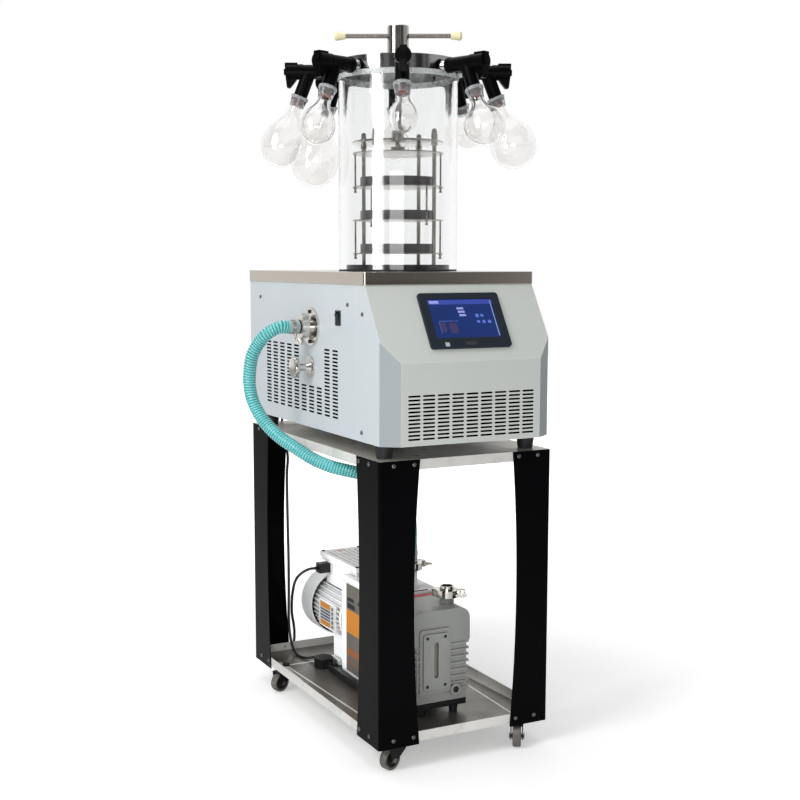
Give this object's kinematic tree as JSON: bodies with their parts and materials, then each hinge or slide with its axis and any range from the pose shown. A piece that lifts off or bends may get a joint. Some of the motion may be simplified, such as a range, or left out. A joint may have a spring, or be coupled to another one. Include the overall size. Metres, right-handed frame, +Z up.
{
  "type": "freeze dryer",
  "caption": "Benchtop freeze dryer with a clear chamber, pressing shelf rack, valved flask ports and touch panel, on a wheeled trolley with a vacuum pump.",
  "frame": {"origin": "on the floor, under the middle of the trolley", "axes": "+Z up, +X to the right as seen from the operator's side, +Y to the rear; the operator stands on the -Y side"},
  "size_m": [0.6292, 0.7778, 1.562],
  "materials": {
    "tray_steel": "galvanised sheet, satin",
    "leg_black": "black powder coat, semi-gloss",
    "screw_steel": "zinc plated",
    "castor_black": "black painted steel",
    "castor_tyre": "grey rubber",
    "panel_white": "white powder coat with a cool tint",
    "shell_grey": "light grey powder coat",
    "worktop_steel": "brushed stainless",
    "foot_rubber": "matt",
    "bezel_grey": "fine texture",
    "screen_glass": null,
    "black_plastic": "moulded",
    "polished_steel": "polished stainless",
    "lid_steel": "turned stainless",
    "dark_metal": "dark, satin",
    "shelf_steel": "stainless, satin",
    "seal_rubber": "matt",
    "clear_acrylic": "clear acrylic, polished",
    "valve_rubber": "smooth black",
    "clear_collar": "clear silicone",
    "flask_glass": "clear",
    "base_black": "black, satin",
    "pump_grey": "light grey enamel on a casting",
    "sight_glass": "oil seen through it",
    "pump_white": "white enamel on a casting",
    "box_white": "moulded white",
    "hose_teal": "ribbed, translucent look",
    "lead_black": "cable sheath"
  },
  "bodies": {
    "cart": {"trolley_trays": "tray_steel", "trolley_legs": "leg_black", "pan_screws": "screw_steel", "chassis": "panel_white", "side_panel_left": "panel_white", "side_panel_right": "panel_white", "front_shell": "shell_grey", "worktop": "worktop_steel", "machine_feet": "foot_rubber", "hmi_bezel": "bezel_grey", "hmi_screen": "screen_glass", "switch_frame": "black_plastic", "vacuum_flange": "polished_steel", "hose_nozzles": "polished_steel", "kf_clamps": "polished_steel", "drain_valve": "polished_steel", "rear_glands": "black_plastic", "cold_trap": "polished_steel", "condensing_unit": "dark_metal", "trap_ring": "dark_metal", "rack_frame": "polished_steel", "chamber_seals": "seal_rubber", "chamber_cylinder": "clear_acrylic", "manifold_lid": "lid_steel", "valve_bodies": "valve_rubber", "flask_collars": "clear_collar", "flasks": "flask_glass", "pump_base": "base_black", "pump_oil_box": "pump_grey", "pump_sight_glass": "sight_glass", "pump_block": "pump_white", "pump_motor": "pump_white", "pump_terminal_box": "box_white", "vacuum_hose": "hose_teal", "pump_lead": "lead_black", "pump_connector": "black_plastic", "mains_lead": "lead_black", "mains_plug": "black_plastic"},
    "rack_carriage": {"rack_shelves": "shelf_steel", "rack_trays": "shelf_steel"},
    "press_handle": {"press_handle": "polished_steel"},
    "power_rocker": {"power_rocker": "black_plastic"},
    "drain_knob": {"drain_knob": "polished_steel"},
    "condenser_fan": {"condenser_fan": "black_plastic"},
    "swivel_fl": {"castor_fork_fl": "castor_black"},
    "wheel_fl": {"castor_wheel_fl": "castor_tyre"},
    "swivel_fr": {"castor_fork_fr": "castor_black"},
    "wheel_fr": {"castor_wheel_fr": "castor_tyre"},
    "swivel_bl": {"castor_fork_bl": "castor_black"},
    "wheel_bl": {"castor_wheel_bl": "castor_tyre"},
    "swivel_br": {"castor_fork_br": "castor_black"},
    "wheel_br": {"castor_wheel_br": "castor_tyre"},
    "lever_1": {"valve_lever_1": "valve_rubber"},
    "lever_2": {"valve_lever_2": "valve_rubber"},
    "lever_3": {"valve_lever_3": "valve_rubber"},
    "lever_4": {"valve_lever_4": "valve_rubber"},
    "lever_5": {"valve_lever_5": "valve_rubber"},
    "lever_6": {"valve_lever_6": "valve_rubber"},
    "lever_7": {"valve_lever_7": "valve_rubber"},
    "lever_8": {"valve_lever_8": "valve_rubber"}
  },
  "joints": [
    {"name": "swivel_fl", "type": "hinge", "parent": "cart", "child": "swivel_fl", "pos_m": [-0.148, -0.322, 0.058], "axis": [0, 0, 1], "continuous": true},
    {"name": "roll_fl", "type": "hinge", "parent": "swivel_fl", "child": "wheel_fl", "pos_m": [-0.16808, -0.32814, 0.023], "axis": [0.2924, -0.9563, 0], "continuous": true},
    {"name": "swivel_fr", "type": "hinge", "parent": "cart", "child": "swivel_fr", "pos_m": [0.148, -0.322, 0.058], "axis": [0, 0, 1], "continuous": true},
    {"name": "roll_fr", "type": "hinge", "parent": "swivel_fr", "child": "wheel_fr", "pos_m": [0.13656, -0.33961, 0.023], "axis": [0.8387, -0.5446, 0], "continuous": true},
    {"name": "swivel_bl", "type": "hinge", "parent": "cart", "child": "swivel_bl", "pos_m": [-0.17, 0.232, 0.058], "axis": [0, 0, 1], "continuous": true},
    {"name": "roll_bl", "type": "hinge", "parent": "swivel_bl", "child": "wheel_bl", "pos_m": [-0.18973, 0.22482, 0.023], "axis": [0.342, -0.9397, 0], "continuous": true},
    {"name": "swivel_br", "type": "hinge", "parent": "cart", "child": "swivel_br", "pos_m": [0.17, 0.232, 0.058], "axis": [0, 0, 1], "continuous": true},
    {"name": "roll_br", "type": "hinge", "parent": "swivel_br", "child": "wheel_br", "pos_m": [0.1528, 0.21996, 0.023], "axis": [0.5736, -0.8192, 0], "continuous": true},
    {"name": "valve_turn_1", "type": "hinge", "parent": "cart", "child": "lever_1", "pos_m": [-0.09129, -0.23176, 1.463], "axis": [-0.4226, -0.9063, 0], "range_deg": [0, 90]},
    {"name": "valve_turn_2", "type": "hinge", "parent": "cart", "child": "lever_2", "pos_m": [0.07388, -0.23897, 1.463], "axis": [0.342, -0.9397, 0], "range_deg": [0, 90]},
    {"name": "valve_turn_3", "type": "hinge", "parent": "cart", "child": "lever_3", "pos_m": [0.19576, -0.12729, 1.463], "axis": [0.9063, -0.4226, 0], "range_deg": [0, 90]},
    {"name": "valve_turn_4", "type": "hinge", "parent": "cart", "child": "lever_4", "pos_m": [0.20297, 0.03788, 1.463], "axis": [0.9397, 0.342, 0], "range_deg": [0, 90]},
    {"name": "valve_turn_5", "type": "hinge", "parent": "cart", "child": "lever_5", "pos_m": [0.09129, 0.15976, 1.463], "axis": [0.4226, 0.9063, 0], "range_deg": [0, 90]},
    {"name": "valve_turn_6", "type": "hinge", "parent": "cart", "child": "lever_6", "pos_m": [-0.07388, 0.16697, 1.463], "axis": [-0.342, 0.9397, 0], "range_deg": [0, 90]},
    {"name": "valve_turn_7", "type": "hinge", "parent": "cart", "child": "lever_7", "pos_m": [-0.19576, 0.05529, 1.463], "axis": [-0.9063, 0.4226, 0], "range_deg": [0, 90]},
    {"name": "valve_turn_8", "type": "hinge", "parent": "cart", "child": "lever_8", "pos_m": [-0.20297, -0.10988, 1.463], "axis": [-0.9397, -0.342, 0], "range_deg": [0, 90]},
    {"name": "press_slide", "type": "slide", "parent": "cart", "child": "rack_carriage", "axis": [0, 0, -1], "range_m": [0, 0.012]},
    {"name": "press_turn", "type": "hinge", "parent": "rack_carriage", "child": "press_handle", "pos_m": [0, -0.036, 1.4], "axis": [0, 0, -1], "range_deg": [0, 1080]},
    {"name": "switch_rock", "type": "hinge", "parent": "cart", "child": "power_rocker", "pos_m": [-0.196, -0.15, 0.931], "axis": [0, 1, 0], "range_deg": [0, 24]},
    {"name": "drain_turn", "type": "hinge", "parent": "cart", "child": "drain_knob", "pos_m": [-0.22, -0.002, 0.817], "axis": [-1, 0, 0], "range_deg": [0, 270]},
    {"name": "fan_spin", "type": "hinge", "parent": "cart", "child": "condenser_fan", "pos_m": [0, -0.275, 0.76], "axis": [0, 1, 0], "continuous": true}
  ],
  "couplings": [
    {"joint": "press_slide", "follows": "press_turn", "m_per_rad": 0.00063662}
  ]
}
